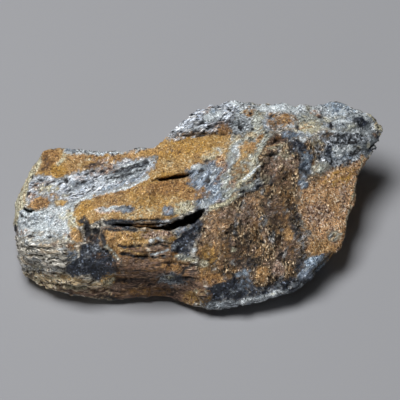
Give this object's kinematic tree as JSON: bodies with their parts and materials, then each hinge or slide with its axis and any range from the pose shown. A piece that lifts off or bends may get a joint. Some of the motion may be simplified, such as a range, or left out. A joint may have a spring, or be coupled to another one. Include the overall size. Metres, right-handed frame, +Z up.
{
  "type": "rough pietersite stone",
  "caption": "Rough lump of pietersite with an ochre slab over a deep crevice, silver fibrous bands, navy patches, and a dark velvety face, resting on its flattest side.",
  "frame": {"origin": "middle of the stone's box, on the surface that it rests on", "axes": "+X along the stone's length, +Y from its low front to its back edge, +Z up"},
  "size_m": [0.1592, 0.0922, 0.0475],
  "materials": {
    "pietersite": "rough banded quartz: sandy ochre, silver-blue fibres, navy and brown, dull with a faint silky sheen on the fibres"
  },
  "bodies": {
    "root": {"stone": "pietersite"}
  },
  "joints": []
}
